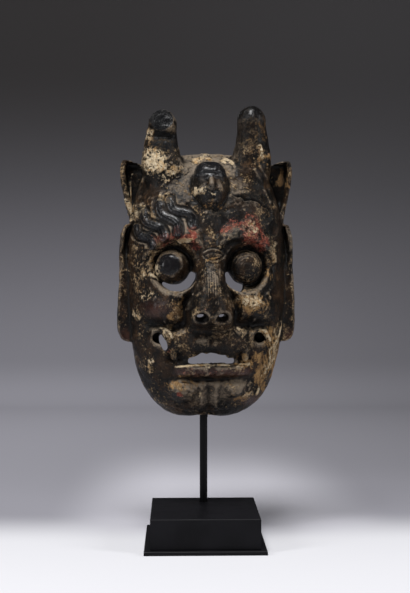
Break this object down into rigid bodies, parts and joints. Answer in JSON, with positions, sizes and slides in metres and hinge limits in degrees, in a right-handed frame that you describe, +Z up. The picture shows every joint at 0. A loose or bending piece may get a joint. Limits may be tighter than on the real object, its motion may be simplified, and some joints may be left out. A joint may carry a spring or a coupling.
{
  "type": "nuo mask",
  "caption": "Carved horned guardian mask with bulging eyes and a hollow back, held at the chin by a rod on a stepped square base.",
  "frame": {"origin": "middle of the base plate's underside", "axes": "+Z up along the rod; the face looks along -Y, turned 3 degrees towards +X; +X is on the viewer's right"},
  "size_m": [0.1834, 0.1228, 0.4428],
  "materials": {
    "mask": "dark brown-black lacquer worn through to cream ground and bare brown wood, with orange-red left on the brows, uneven satin",
    "rod": "satin black paint",
    "block": "satin black paint",
    "plate": "satin black paint"
  },
  "bodies": {
    "root": {"mask": "mask", "rod_with_clip": "rod", "base_block": "block", "base_plate": "plate"}
  },
  "joints": []
}
